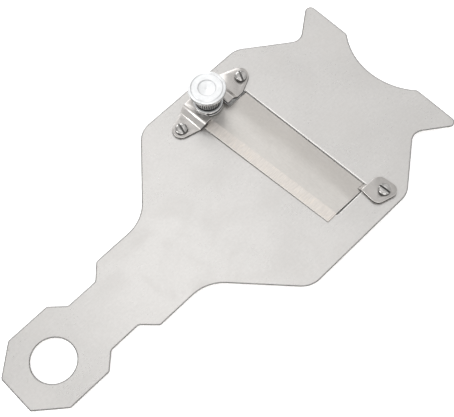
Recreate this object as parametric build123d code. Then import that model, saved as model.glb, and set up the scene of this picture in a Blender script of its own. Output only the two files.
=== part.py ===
from build123d import *
import math
import os

# Hand-held truffle slicer. The origin is the hanging hole's axis on the plate's underside,
# +Y runs along the plate to the horns and +Z points to the blade's side. Lengths are in millimetres.

# Body plate, one stainless sheet: its widths, then the length of each stretch along Y
plate_thickness = 1.2
hanging_hole_diameter = 17.8
end_width = 16.9
ring_width = 36.0
neck_width = 24.7
grip_width = 36.5
body_width = 96.5
horn_root_width = 62.8
horn_span = 86.4
end_reach = 18.5
end_bevel_length = 11.3
ring_side_length = 19.1
ring_bevel_length = 6.0
neck_length = 13.9
grip_bevel_length = 5.7
grip_length = 24.3
flare_length = 26.8
body_length = 54.5
shoulder_length = 22.4
horn_length = 16.0

# Fish-tail mouth between the horns
mouth_radius = 30.4
mouth_depth = 7.3
mouth_corner_radius = 1.6

# Rounded corners of the plate
ring_corner_radius = 1.2
neck_corner_radius = 2.0
grip_corner_radius = 1.5
flare_radius = 17.0
hip_radius = 10.0
shoulder_radius = 9.0
horn_root_radius = 5.0
horn_tip_radius = 2.3
edge_break = 0.15

# Blade, a slanted and pitched strip of spring steel with a ground edge towards the handle
blade_thickness = 0.8
blade_side_margin = 14.05
edge_from_flare = 21.2
edge_slant = 4.36
bevel_width = 4.8
edge_land = 0.08
blade_pitch = 4.2
blade_rest_tilt = 0.3
blade_plate_gap = 0.05
tongue_radius = 5.4
tongue_front_setback = 2.2
blade_bridge_gap = 0.3

# Window in the plate under the blade
window_back_from_flare = 44.85
window_back_slant = 2.7
edge_overlap = 4.4
window_side_gap = 0.45
window_back_gap = 0.55
window_corner_radius = 1.0
window_left_margin = 1.3
window_step_offset = 4.65
tongue_slot_margin = 0.9

# Ear that clamps the blade, on a thin spacer and joined to the strip by a narrow bent neck
ear_reach = 6.2
ear_screw_margin = 7.4
ear_screw_from_window = 2.2
ear_outline_shares = [(0.35, -1.1), (0.92, 0.84), (-1.02, 0.6)]
ear_corner_shares = [0.56, 0.52, 0.6]
spacer_diameter = 7.0
spacer_thickness = 0.5
joint_neck_width = 3.2
joint_neck_length = 1.8
neck_window_gap = 0.25
flexure_gap = 0.05
neck_side_gap = 0.12

# Bridge, a bent strip over the blade's tongue, with a slot that holds the adjusting screw's groove
bridge_thickness = 0.9
bridge_margin = 11.4
bridge_from_flare = 27.75
bridge_turn = 2.0
bridge_width = 12.9
bridge_rise = 2.4
bridge_top_length = 15.8
bridge_bend_length = 20.8
slot_corner_radius = 0.5
bridge_bend_radius = 1.1
front_foot_reach = 16.0
back_foot_reach = 18.6
back_hole_offset = 0.9
foot_end_radius = 3.9
front_shoulder_reach = 8.6
back_shoulder_reach = 13.6

# Adjusting knob and screw, thread size M4
thread_diameter = 4.0
groove_diameter = 9.6
groove_clearance = 0.1
groove_play = 0.05
collar_diameter = 12.3
collar_thickness = 0.55
spigot_diameter = 5.0
spigot_length = 6.5
screw_tip_below_bush = 1.6
knob_base_diameter = 12.2
knob_base_height = 0.9
knob_cove_diameter = 10.4
knob_cove_height = 1.9
knob_core_diameter = 10.0
knob_hub_diameter = 11.6
knob_hub_top_diameter = 12.2
knob_flange_diameter = 15.7
knob_flange_height = 2.0
knob_height = 10.95
knob_edge_radius = 0.45
knob_recess_diameter = 7.4
knob_recess_depth = 0.45
knob_dimple_diameter = 2.2
knob_dimple_depth = 0.35
knob_ring_groove_diameter = 13.0
knob_ring_groove_width = 0.5
knob_ring_groove_depth = 0.2
hub_flutes = 42
hub_flute_depth = 0.3

# Threaded bush riveted into the blade's tongue
bush_diameter = 6.4
bush_length = 1.6
bush_thread_clearance = 0.2

# M3 screws with small slotted heads, and their nuts
screw_diameter = 3.0
screw_hole_diameter = 3.2
head_diameter = 5.1
head_height = 1.4
head_edge_break = 0.3
slot_width = 0.8
slot_depth = 0.7
nut_across_flats = 5.5
nut_height = 2.4
nut_chamfer_angle = 30.0
nut_thread_clearance = 0.05
screw_end_past_nut = 0.8
front_slot_turn = -13.0
back_slot_turn = -25.0
ear_slot_turn = 4.0

# How far every cutting tool runs past the stock
overrun = 2.0

# Places that follow from the sizes above
plate_top = plate_thickness
ring_start_y = end_bevel_length - end_reach
ring_end_y = ring_start_y + ring_side_length
neck_start_y = ring_end_y + ring_bevel_length
neck_end_y = neck_start_y + neck_length
grip_start_y = neck_end_y + grip_bevel_length
grip_end_y = grip_start_y + grip_length
body_start_y = grip_end_y + flare_length
body_end_y = body_start_y + body_length
horn_root_y = body_end_y + shoulder_length
horn_tip_y = horn_root_y + horn_length
mouth_centre_y = horn_tip_y - mouth_depth + mouth_radius

edge_slope = math.tan(math.radians(edge_slant))
back_slope = math.tan(math.radians(window_back_slant))
bridge_x = bridge_margin - body_width / 2
bridge_y = body_start_y + bridge_from_flare
blade_right_reach = body_width / 2 - blade_side_margin
ear_screw_x = body_width / 2 - ear_screw_margin
blade_left_x = bridge_x + bridge_width / 2 + blade_bridge_gap
window_left_x = bridge_x - tongue_radius - window_left_margin
window_step_x = bridge_x + window_step_offset
window_right_x = blade_right_reach + window_side_gap
joint_neck_reach = window_right_x - neck_window_gap
neck_foot_x = joint_neck_reach - joint_neck_length
flexure_x = neck_foot_x - flexure_gap
ear_bottom = plate_top + spacer_thickness

bridge_underside = plate_top + bridge_rise
bridge_top = bridge_underside + bridge_thickness
collar_top = bridge_underside - groove_play
collar_bottom = collar_top - collar_thickness
knob_bottom = bridge_top + groove_play


def edge_y(x):
    """Y of the cutting edge at x."""
    return body_start_y + edge_from_flare + x * edge_slope


def window_front_y(x):
    """Y of the window's front side, which runs along under the cutting edge."""
    return edge_y(x) + edge_overlap


def window_back_y(x):
    """Y of the window's back side at x."""
    return body_start_y + window_back_from_flare + x * back_slope


def blade_back_y(x):
    """Y of the blade's back edge, just inside the window."""
    return window_back_y(x) - window_back_gap


def bridge_point(along, across=0):
    """Place on the plate of a point of the bridge, which is turned a little on it."""
    turn = math.radians(bridge_turn)
    x = bridge_x + across * math.cos(turn) - along * math.sin(turn)
    y = bridge_y + across * math.sin(turn) + along * math.cos(turn)
    return x, y


ear_screw_y = window_back_y(ear_screw_x) + ear_screw_from_window
front_screw_x, front_screw_y = bridge_point(-front_foot_reach)
back_screw_x, back_screw_y = bridge_point(back_foot_reach, back_hole_offset)


def rounded_outline(points, radii):
    """Face inside a closed outline. Each corner's radius is limited by its two sides."""
    fitted = []
    count = len(points)
    for i, radius in enumerate(radii):
        before, here, after = (Vector(*points[(i + k) % count]) for k in (-1, 0, 1))
        into, out = here - before, after - here
        half_turn = math.radians(into.get_angle(out)) / 2
        room = min(into.length, out.length) / 2
        fitted.append(min(radius, room / math.tan(half_turn) * 0.98))
    return make_face(FilletPolyline(*points, radius=fitted, close=True))


def mirrored(half):
    """The points of a right-hand half, then their mirror images back to the start."""
    return half + [(-x, y) for x, y in reversed(half)]


def body_plate():
    """The flat sheet: ring, neck, grip, wide body and fish-tail horns."""
    right = [
        (end_width / 2, -end_reach),
        (ring_width / 2, ring_start_y),
        (ring_width / 2, ring_end_y),
        (neck_width / 2, neck_start_y),
        (neck_width / 2, neck_end_y),
        (grip_width / 2, grip_start_y),
        (grip_width / 2, grip_end_y),
        (body_width / 2, body_start_y),
        (body_width / 2, body_end_y),
        (horn_root_width / 2, horn_root_y),
        (horn_span / 2, horn_tip_y),
    ]
    corner_radii = [
        ring_corner_radius,
        ring_corner_radius,
        ring_corner_radius,
        neck_corner_radius,
        neck_corner_radius,
        grip_corner_radius,
        flare_radius,
        hip_radius,
        shoulder_radius,
        horn_root_radius,
        horn_tip_radius,
    ]
    sheet = rounded_outline(mirrored(right), corner_radii + corner_radii[::-1])
    sheet -= Pos(0, mouth_centre_y) * Circle(mouth_radius)
    mouth_corners = sheet.vertices().filter_by(lambda v: abs(v.Y - horn_tip_y) < overrun)
    inner_pair = mouth_corners.sort_by(lambda v: abs(v.X))[:2]
    sheet = fillet(inner_pair, mouth_corner_radius)
    sheet -= Circle(hanging_hole_diameter / 2)
    sheet -= window()
    plate = extrude(sheet, plate_thickness)
    rims = plate.faces().filter_by(Axis.Z).edges()
    plate = chamfer(rims, edge_break)
    for x, y in ((front_screw_x, front_screw_y), (back_screw_x, back_screw_y), (ear_screw_x, ear_screw_y)):
        plate -= Pos(x, y) * Cylinder(screw_hole_diameter / 2, 2 * (plate_thickness + overrun))
    return plate


def window():
    """The opening under the blade, narrower at the blade's tongue."""
    tongue_slot_y = bridge_y + tongue_radius + tongue_slot_margin
    corners = [
        (window_left_x, window_front_y(window_left_x)),
        (window_right_x, window_front_y(window_right_x)),
        (window_right_x, window_back_y(window_right_x)),
        (window_step_x, window_back_y(window_step_x)),
        (window_step_x, tongue_slot_y),
        (window_left_x, tongue_slot_y),
    ]
    return rounded_outline(corners, [window_corner_radius] * len(corners))


def set_blade(flat):
    """Moves a flat piece to the blade's place: pitched over the window's front side, then tilted."""
    start = (blade_right_reach, window_front_y(blade_right_reach), plate_top + blade_plate_gap)
    pitch_axis = Axis(start, (1, edge_slope, 0))
    pitched = flat.moved(Location((0, 0, plate_top + blade_plate_gap))).rotate(pitch_axis, -blade_pitch)
    return pitched.rotate(flexure_axis(), blade_rest_tilt)


def joint_neck_y():
    """Y of the middle of the neck that joins the ear to the strip."""
    return blade_back_y(joint_neck_reach) - joint_neck_width / 2


def flexure_axis():
    """Line about which the neck bends as the knob lifts the blade's free end."""
    run = joint_neck_y() - window_front_y(flexure_x)
    drop = run * math.tan(math.radians(blade_pitch))
    height = plate_top + blade_plate_gap + blade_thickness / 2 - drop
    return Axis((flexure_x, 0, height), (0, 1, 0))


def blade():
    """The ground strip, with its tongue under the bridge and a cut-out for the ear's neck."""
    strip = Polygon(
        (blade_left_x, edge_y(blade_left_x)),
        (blade_right_reach, edge_y(blade_right_reach)),
        (blade_right_reach, blade_back_y(blade_right_reach)),
        (blade_left_x, blade_back_y(blade_left_x)),
        align=None,
    )
    round_end = Pos(bridge_x, bridge_y) * Circle(tongue_radius)
    root_front = edge_y(blade_left_x) + tongue_front_setback
    root = Line((blade_left_x, root_front), (blade_left_x, bridge_y + tongue_radius))
    tongue = make_hull(round_end.edges() + root.edges())
    cut_out_low = joint_neck_y() - joint_neck_width / 2 - neck_side_gap
    cut_out = Rectangle(
        blade_right_reach - flexure_x + overrun, joint_neck_width + overrun, align=(Align.MIN, Align.MIN)
    )
    sheet = strip + tongue - Pos(flexure_x, cut_out_low) * cut_out
    sheet -= Pos(bridge_x, bridge_y) * Circle(bush_diameter / 2)
    flat = extrude(sheet, blade_thickness)
    return set_blade(flat - bevel_cut())


def bevel_cut():
    """Stock that grinding takes off above the cutting edge of the flat strip."""
    span = blade_right_reach - blade_left_x + 2 * overrun
    fall = math.degrees(math.atan2(blade_thickness - edge_land, bevel_width))
    middle_x = (blade_right_reach + blade_left_x) / 2
    stock = Box(span, 2 * bevel_width, blade_thickness + overrun, align=(Align.CENTER, Align.CENTER, Align.MIN))
    place = Pos(middle_x, edge_y(middle_x), edge_land) * Rot(0, 0, edge_slant) * Rot(fall, 0, 0)
    return place * stock


def blade_ear():
    """The clamped end of the blade: an ear on its spacer, and the bend down to the strip."""
    low = joint_neck_y() - joint_neck_width / 2
    high = joint_neck_y() + joint_neck_width / 2
    corners = [(ear_screw_x + u * ear_reach, ear_screw_y + v * ear_reach) for u, v in ear_outline_shares]
    corners = [(joint_neck_reach, low)] + corners + [(joint_neck_reach, high)]
    radii = [0] + [share * ear_reach for share in ear_corner_shares] + [0]
    leaf = rounded_outline(corners, radii)
    leaf -= Pos(ear_screw_x, ear_screw_y) * Circle(screw_hole_diameter / 2)
    return Pos(0, 0, ear_bottom) * extrude(leaf, blade_thickness) + neck_bend()


def neck_bend():
    """The bend, from the pitched strip's level at the flexing line up to the ear's."""
    end_face = Plane.YZ * Pos(joint_neck_y(), blade_thickness / 2)
    section = end_face * Rectangle(joint_neck_width, blade_thickness)
    foot = set_blade(Pos(neck_foot_x, 0, 0) * section)
    top = Pos(joint_neck_reach, 0, ear_bottom) * section
    return loft([foot, top], ruled=True)


def ear_spacer():
    """Thin washer that holds the ear off the plate."""
    ring = Circle(spacer_diameter / 2) - Circle(screw_hole_diameter / 2)
    return Pos(ear_screw_x, ear_screw_y, plate_top) * extrude(ring, spacer_thickness)


def blade_bush():
    """Threaded boss under the blade's tongue, riveted through it."""
    boss = Cylinder(bush_diameter / 2, bush_length, align=(Align.CENTER, Align.CENTER, Align.MAX))
    rivet = Cylinder(bush_diameter / 2, blade_thickness, align=(Align.CENTER, Align.CENTER, Align.MIN))
    bore_radius = thread_diameter / 2 + bush_thread_clearance
    bore = Cylinder(bore_radius, 2 * (bush_length + blade_thickness))
    return set_blade(Pos(bridge_x, bridge_y) * (boss + rivet - bore))


def on_bridge(shape):
    """Moves a shape drawn about the bridge's middle to its place on the plate."""
    return Pos(bridge_x, bridge_y, 0) * Rot(0, 0, bridge_turn) * shape


def bridge_bracket():
    """The bent strip: two feet on the plate, two risers and a raised, slotted middle."""
    front_end = -front_foot_reach - foot_end_radius
    back_end = back_foot_reach + foot_end_radius
    outer_bend = bridge_bend_radius + bridge_thickness
    underside = FilletPolyline(
        (front_end, 0),
        (-bridge_bend_length / 2, 0),
        (-bridge_top_length / 2, bridge_rise),
        (bridge_top_length / 2, bridge_rise),
        (bridge_bend_length / 2, 0),
        (back_end, 0),
        radius=[outer_bend, bridge_bend_radius, bridge_bend_radius, outer_bend],
    )
    section = make_face(offset(underside, bridge_thickness, side=Side.LEFT))
    strip = extrude(Plane.YZ * section, bridge_width / 2 + overrun, both=True)
    middle = Pos(0, (back_shoulder_reach - front_shoulder_reach) / 2) * Rectangle(
        bridge_width, front_shoulder_reach + back_shoulder_reach
    )
    front_round = Pos(0, -front_foot_reach) * Circle(foot_end_radius)
    back_round = Pos(0, back_foot_reach) * Circle(foot_end_radius)
    plan = make_hull(middle.edges() + front_round.edges() + back_round.edges())
    slot_radius = groove_diameter / 2 + groove_clearance
    mouth = Rectangle(bridge_width, 2 * slot_radius, align=(Align.MIN, Align.CENTER))
    plan -= Circle(slot_radius) + mouth
    mouth_corners = plan.vertices().filter_by(lambda v: abs(v.X - bridge_width / 2) < slot_corner_radius)
    mouth_corners = mouth_corners.filter_by(lambda v: abs(v.Y) < slot_radius + slot_corner_radius)
    plan = fillet(mouth_corners, slot_corner_radius)
    for x, y in ((0, -front_foot_reach), (back_hole_offset, back_foot_reach)):
        plan -= Pos(x, y) * Circle(screw_hole_diameter / 2)
    bracket = strip & extrude(plan, bridge_rise + bridge_thickness + overrun)
    return on_bridge(Pos(0, 0, plate_top) * bracket)


def adjusting_screw():
    """Turned steel screw: thread, collar under the bridge, groove in its slot, spigot in the knob."""
    tip = plate_top - bush_length - screw_tip_below_bush
    steps = [
        (thread_diameter, tip, collar_bottom),
        (collar_diameter, collar_bottom, collar_top),
        (groove_diameter, collar_top, knob_bottom),
        (spigot_diameter, knob_bottom, knob_bottom + spigot_length),
    ]
    corners = [(0, tip)]
    for diameter, low, high in steps:
        corners += [(diameter / 2, low), (diameter / 2, high)]
    corners.append((0, knob_bottom + spigot_length))
    half = make_face(Polyline(*corners, close=True))
    return Pos(bridge_x, bridge_y) * revolve(Plane.XZ * half, Axis.Z)


def fluted_hub(low, high):
    """The knob's hub: a star of shallow V flutes that widens towards the flange."""
    step = math.pi / hub_flutes
    points = []
    for i in range(2 * hub_flutes):
        radius = knob_hub_diameter / 2 - hub_flute_depth * (i % 2)
        points.append((radius * math.cos(i * step), radius * math.sin(i * step)))
    star = make_face(Polyline(*points, close=True))
    grown = scale(star, knob_hub_top_diameter / knob_hub_diameter)
    return loft([Pos(0, 0, low) * star, Pos(0, 0, high) * grown], ruled=True)


def adjusting_knob():
    """Turned aluminium knob: base disc, cove, fluted hub and a wide flange with a dished top."""
    flange_low = knob_height - knob_flange_height
    hub_low = knob_base_height + knob_cove_height
    corners = [
        (0, 0),
        (knob_base_diameter / 2, 0),
        (knob_base_diameter / 2, knob_base_height),
        (knob_cove_diameter / 2, knob_base_height),
        (knob_cove_diameter / 2, knob_base_height + knob_cove_height / 2),
        (knob_core_diameter / 2, hub_low),
        (knob_core_diameter / 2, flange_low),
        (knob_flange_diameter / 2, flange_low),
        (knob_flange_diameter / 2, knob_height),
        (0, knob_height),
    ]
    body = revolve(Plane.XZ * make_face(Polyline(*corners, close=True)), Axis.Z)
    body += fluted_hub(hub_low, flange_low)
    rims = body.edges().filter_by(GeomType.CIRCLE).filter_by(
        lambda e: abs(e.radius - knob_flange_diameter / 2) < knob_edge_radius
    )
    body = fillet(rims, knob_edge_radius)
    recess = Pos(0, 0, knob_height - knob_recess_depth) * Cylinder(
        knob_recess_diameter / 2, knob_recess_depth + overrun, align=(Align.CENTER, Align.CENTER, Align.MIN)
    )
    dimple = Pos(0, 0, knob_height - knob_recess_depth - knob_dimple_depth) * Cone(
        0, knob_dimple_diameter / 2, knob_dimple_depth, align=(Align.CENTER, Align.CENTER, Align.MIN)
    )
    ring_outer = Cylinder((knob_ring_groove_diameter + knob_ring_groove_width) / 2, 2 * knob_ring_groove_depth)
    ring_inner = Cylinder((knob_ring_groove_diameter - knob_ring_groove_width) / 2, 2 * knob_ring_groove_depth)
    ring = Pos(0, 0, knob_height) * (ring_outer - ring_inner)
    bore = Cylinder(spigot_diameter / 2, spigot_length, align=(Align.CENTER, Align.CENTER, Align.MIN))
    return Pos(bridge_x, bridge_y, knob_bottom) * (body - recess - dimple - ring - bore)


def slotted_screw(x, y, seat, slot_turn):
    """M3 screw standing in the plate, its head on seat and the slot in it turned."""
    head = Cylinder(head_diameter / 2, head_height, align=(Align.CENTER, Align.CENTER, Align.MIN))
    head = chamfer(head.edges().group_by(Axis.Z)[-1], head_edge_break)
    slot = Pos(0, 0, head_height) * Box(head_diameter + overrun, slot_width, 2 * slot_depth)
    shank_length = seat + nut_height + screw_end_past_nut
    shank = Cylinder(screw_diameter / 2, shank_length, align=(Align.CENTER, Align.CENTER, Align.MAX))
    return Pos(x, y, seat) * Rot(0, 0, slot_turn) * (head - slot + shank)


def hex_nut(x, y):
    """M3 nut against the plate's underside, with one pair of flats square to Y."""
    profile = RegularPolygon(nut_across_flats / 2, 6, major_radius=False, rotation=30)
    blank = extrude(profile, -nut_height)
    flat_radius = nut_across_flats / 2
    flare = nut_height / math.tan(math.radians(nut_chamfer_angle))
    blank &= Cone(flat_radius, flat_radius + flare, nut_height, align=(Align.CENTER, Align.CENTER, Align.MAX))
    bore = Cylinder(screw_diameter / 2 + nut_thread_clearance, 2 * (nut_height + overrun))
    return Pos(x, y, 0) * (blank - bore)


foot_seat = plate_top + bridge_thickness
ear_seat = ear_bottom + blade_thickness

parts = {
    "body_plate": body_plate(),
    "blade": blade(),
    "blade_ear": blade_ear(),
    "ear_spacer": ear_spacer(),
    "blade_bush": blade_bush(),
    "bridge_bracket": bridge_bracket(),
    "adjusting_screw": adjusting_screw(),
    "adjusting_knob": adjusting_knob(),
    "bridge_screw_front": slotted_screw(front_screw_x, front_screw_y, foot_seat, front_slot_turn),
    "bridge_screw_back": slotted_screw(back_screw_x, back_screw_y, foot_seat, back_slot_turn),
    "ear_screw": slotted_screw(ear_screw_x, ear_screw_y, ear_seat, ear_slot_turn),
    "bridge_nut_front": hex_nut(front_screw_x, front_screw_y),
    "bridge_nut_back": hex_nut(back_screw_x, back_screw_y),
    "ear_nut": hex_nut(ear_screw_x, ear_screw_y),
}

os.makedirs("parts", exist_ok=True)
for node, solid in parts.items():
    export_step(solid, f"parts/{node}.step")
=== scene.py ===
import math

import bmesh
import bpy
from bpy.props import FloatProperty, FloatVectorProperty, IntProperty, PointerProperty
from mathutils import Matrix, Vector


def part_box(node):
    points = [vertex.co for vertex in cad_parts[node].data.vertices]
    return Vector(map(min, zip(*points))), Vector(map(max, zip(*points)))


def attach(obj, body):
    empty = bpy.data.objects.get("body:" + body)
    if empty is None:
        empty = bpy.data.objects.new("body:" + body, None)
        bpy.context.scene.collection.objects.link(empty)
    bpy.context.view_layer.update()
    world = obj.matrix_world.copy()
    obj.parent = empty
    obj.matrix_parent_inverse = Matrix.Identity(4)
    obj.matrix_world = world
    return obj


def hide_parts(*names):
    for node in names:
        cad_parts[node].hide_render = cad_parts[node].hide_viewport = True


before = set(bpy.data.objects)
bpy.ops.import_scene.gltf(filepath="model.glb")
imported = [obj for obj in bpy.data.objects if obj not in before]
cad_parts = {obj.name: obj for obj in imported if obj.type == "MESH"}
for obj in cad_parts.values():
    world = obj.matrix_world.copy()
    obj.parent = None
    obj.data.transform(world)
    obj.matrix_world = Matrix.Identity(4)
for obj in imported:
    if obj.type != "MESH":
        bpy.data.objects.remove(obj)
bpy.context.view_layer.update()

bl_info = {
    "name": "Truffle slicer",
    "version": (1, 0, 0),
    "blender": (4, 5, 0),
    "location": "3D View > Sidebar > Slicer",
    "description": "Dresses the packed truffle slicer: satin sheet, ground blade, turned knob and fasteners",
    "category": "Add Mesh",
}

MM = 0.001
FULL_TURN = 2 * math.pi

# Places on the slicer: half width, front and back of the plate's window, and the line of the blade's edge
WINDOW = (40 * MM, 110 * MM, 138 * MM)
EDGE_SLANT = math.radians(4.36)
EDGE_START = 109.8 * MM
BEVEL_WIDTH = 4.6 * MM
BRIDGE_SHEET = 0.9 * MM
RING_CORNER = (8.4 * MM, -18.5 * MM, 0.0)

# The floor doesn't glow round this middle in Y, and starts to over these distances from it in X and Y
UNLIT_MIDDLE = 121 * MM
UNLIT_X = (40 * MM, 46 * MM)
UNLIT_Y = (22 * MM, 30 * MM)
FLOOR_GLOW = 0.28

SHEET_METALLIC = 0.92
CUT_METALLIC = 0.25
TURNED_METALLIC = 0.95
WARM_STEEL = (0.74, 0.685, 0.625, 1.0)
BLACK = (0.0, 0.0, 0.0, 1.0)

# Depth of a thread for each millimetre of its pitch, and thickness of the screw's collar in millimetres
THREAD_DEPTH = 0.61
COLLAR_THICKNESS = 0.55


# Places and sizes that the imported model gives


def middle(node):
    """Middle of a CAD node in plan, and its lowest and highest level."""
    low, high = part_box(node)
    return (low.x + high.x) / 2, (low.y + high.y) / 2, low.z, high.z


def width(node):
    """Size of a CAD node across X."""
    low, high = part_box(node)
    return high.x - low.x


def height(node):
    """Size of a CAD node up Z."""
    low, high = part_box(node)
    return high.z - low.z


# Sizes and colours that a user would change


def length(name, description, default, **limits):
    """A length in metres."""
    return FloatProperty(
        name=name, description=description, default=default, min=0.0, precision=5, unit="LENGTH", **limits
    )


def colour(name, description, default):
    """A surface colour."""
    return FloatVectorProperty(
        name=name, description=description, default=default, size=4, min=0.0, max=1.0, subtype="COLOR"
    )


def slot_turn(name, description, degrees):
    """The turn of a screw's slot."""
    return FloatProperty(name=name, description=description, default=math.radians(degrees), subtype="ANGLE")


def power(name, description, default):
    """The power of a light."""
    return FloatProperty(name=name, description=description, default=default, min=0.0, unit="POWER")


class SlicerKnobSizes(bpy.types.PropertyGroup):
    """Turned knob, from its base disc up to the dished top."""

    flange_diameter: length("Flange", "Diameter over the knurled rim", width("adjusting_knob"))
    height: length("Height", "From the base disc to the top", height("adjusting_knob"))
    flange_height: length("Flange height", "Height of the knurled rim", 2.0 * MM)
    base_diameter: length("Base", "Diameter of the base disc", 12.2 * MM)
    base_height: length("Base height", "Thickness of the base disc", 0.9 * MM)
    cove_diameter: length("Cove", "Diameter at the bottom of the cove", 10.3 * MM)
    cove_height: length("Cove height", "Height of the cove over the base disc", 1.9 * MM)
    hub_diameter: length("Hub", "Diameter of the hub at the foot of its flutes", 11.6 * MM)
    hub_top_diameter: length("Hub top", "Diameter of the hub under the rim", 12.2 * MM)
    flute_depth: length("Flute depth", "Depth of the hub's flutes", 0.3 * MM)
    knurl_depth: length("Knurl depth", "Depth of the rim's knurls", 0.2 * MM)
    groove_diameter: length("Groove", "Diameter of the ring groove in the top", 13.0 * MM)
    recess_diameter: length("Dish", "Diameter of the dish in the top", 7.4 * MM)
    recess_depth: length("Dish depth", "Depth of the dish's wall", 0.45 * MM)
    dimple_diameter: length("Centre mark", "Diameter of the lathe's centre mark in the dish", 2.2 * MM)
    flutes: IntProperty(name="Flutes", description="Number of flutes round the hub", default=42, min=12)
    knurls_per_flute: IntProperty(name="Knurls", description="Rim knurls for each flute", default=2, min=1)


class SlicerFastenerSizes(bpy.types.PropertyGroup):
    """Slotted screws, their nuts and the adjusting thread."""

    head_diameter: length("Head", "Diameter of the slotted heads", width("ear_screw"))
    head_height: length("Head height", "Height of the slotted heads", 1.4 * MM)
    slot_width: length("Slot", "Width of the slots", 0.8 * MM)
    slot_depth: length("Slot depth", "Depth of the slots", 0.7 * MM)
    thread_diameter: length("Thread", "Outer diameter of the screws", 3.0 * MM)
    thread_pitch: length("Pitch", "Pitch of the screws", 0.5 * MM)
    adjusting_diameter: length("Adjusting thread", "Outer diameter of the adjusting thread", 4.0 * MM)
    adjusting_pitch: length("Adjusting pitch", "Pitch of the adjusting thread", 0.7 * MM)
    collar_diameter: length("Collar", "Diameter of the collar under the bridge", width("adjusting_screw"))
    groove_diameter: length("Neck", "Diameter of the neck in the bridge's slot", 9.6 * MM)
    nut_flats: length("Nut", "Distance across the nuts' flats", width("ear_nut"))
    edge_break: length("Edge break", "Rounding along the edges of bent and stamped pieces", 0.2 * MM)
    front_turn: slot_turn("Front slot", "Turn of the front bridge screw's slot", -13)
    back_turn: slot_turn("Back slot", "Turn of the back bridge screw's slot", -25)
    ear_turn: slot_turn("Ear slot", "Turn of the ear screw's slot", 4)


class SlicerFinishColours(bpy.types.PropertyGroup):
    """Colours of the metals."""

    plate: colour("Plate", "Satin stainless sheet", (0.62, 0.608, 0.597, 1.0))
    blade: colour("Blade", "Ground spring steel", (0.57, 0.551, 0.53, 1.0))
    bevel: colour("Bevel", "Ground band along the cutting edge", (0.7, 0.662, 0.625, 1.0))
    bridge: colour("Bridge", "Bent satin strip", (0.5, 0.482, 0.466, 1.0))
    turned: colour("Turned steel", "Adjusting screw and bush", (0.6, 0.6, 0.6, 1.0))
    screws: colour("Screws", "Bright screws and nuts", (0.45, 0.44, 0.43, 1.0))
    knob: colour("Knob", "Turned aluminium", (0.785, 0.795, 0.805, 1.0))


class SlicerStageLook(bpy.types.PropertyGroup):
    """Floor, light and camera."""

    floor: colour("Floor", "Pale floor", (1.0, 1.0, 1.0, 1.0))
    key: power("Key light", "Power of the soft key light", 1.5)
    grip: power("Grip light", "Power of the light beyond the grip", 1.4)
    front: power("Front light", "Power of the light over the camera", 1.5)
    sky: FloatProperty(name="Sky", description="Brightness of the studio overhead", default=2.0, min=0.0)
    lens: FloatProperty(name="Lens", description="Focal length", default=82.553, min=10.0, unit="CAMERA")
    eye: FloatVectorProperty(
        name="Eye",
        description="Place of the camera",
        default=(0.13158, -0.01946, 0.37549),
        subtype="XYZ",
        unit="LENGTH",
    )


# Shader nodes


class Bench:
    """Adds nodes to one tree and joins them, so a finish reads as a list of steps."""

    def __init__(self, tree):
        self.tree = tree

    def node(self, kind, **settings):
        made = self.tree.nodes.new(kind)
        for key, value in settings.items():
            setattr(made, key, value)
        return made

    def feed(self, socket, value):
        """Joins an output to a socket, or sets the socket's own value."""
        if isinstance(value, bpy.types.NodeSocket):
            self.tree.links.new(value, socket)
        else:
            socket.default_value = value

    def math(self, operation, *values, clamp=False):
        made = self.node("ShaderNodeMath", operation=operation, use_clamp=clamp)
        for socket, value in zip(made.inputs, values):
            self.feed(socket, value)
        return made.outputs[0]

    def vector(self, operation, *values):
        made = self.node("ShaderNodeVectorMath", operation=operation)
        for socket, value in zip(made.inputs, values):
            self.feed(socket, value)
        return made.outputs["Value" if operation in ("DOT_PRODUCT", "LENGTH") else "Vector"]

    def parts(self, vector):
        made = self.node("ShaderNodeSeparateXYZ")
        self.feed(made.inputs[0], vector)
        return made.outputs

    def joined(self, x, y, z):
        made = self.node("ShaderNodeCombineXYZ")
        for socket, value in zip(made.inputs, (x, y, z)):
            self.feed(socket, value)
        return made.outputs[0]

    def noise(self, place, scale=1.0, detail=2.0, roughness=0.5, distortion=0.0):
        made = self.node("ShaderNodeTexNoise")
        self.feed(made.inputs["Vector"], place)
        self.feed(made.inputs["Scale"], scale)
        self.feed(made.inputs["Detail"], detail)
        self.feed(made.inputs["Roughness"], roughness)
        self.feed(made.inputs["Distortion"], distortion)
        return made.outputs["Fac"]

    def between(self, value, low, high, start=0.0, end=1.0):
        """Runs smoothly from start to end as value goes from low to high."""
        made = self.node("ShaderNodeMapRange", interpolation_type="SMOOTHSTEP")
        keys = ("Value", "From Min", "From Max", "To Min", "To Max")
        for key, number in zip(keys, (value, low, high, start, end)):
            self.feed(made.inputs[key], number)
        return made.outputs["Result"]

    def mixed(self, share, a, b, how="MIX"):
        """Mixes two colours."""
        made = self.node("ShaderNodeMix", data_type="RGBA", blend_type=how)
        for index, value in ((0, share), (6, a), (7, b)):
            self.feed(made.inputs[index], value)
        return made.outputs[2]

    def effect(self, group, **values):
        """Places an effect, and gives its outputs by name."""
        made = self.node("ShaderNodeGroup", node_tree=group)
        for key, value in values.items():
            self.feed(made.inputs[key.replace("_", " ")], value)
        return made.outputs


def new_effect(name, inputs, outputs):
    """Starts a shader node group. Inputs are (name, kind, default), outputs (name, kind)."""
    group = bpy.data.node_groups.new(name, "ShaderNodeTree")
    for key, kind, default in inputs:
        socket = group.interface.new_socket(name=key, in_out="INPUT", socket_type=kind)
        if default is not None:
            socket.default_value = default
    for key, kind in outputs:
        group.interface.new_socket(name=key, in_out="OUTPUT", socket_type=kind)
    bench = Bench(group)
    return bench, bench.node("NodeGroupInput").outputs, bench.node("NodeGroupOutput").inputs


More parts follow.
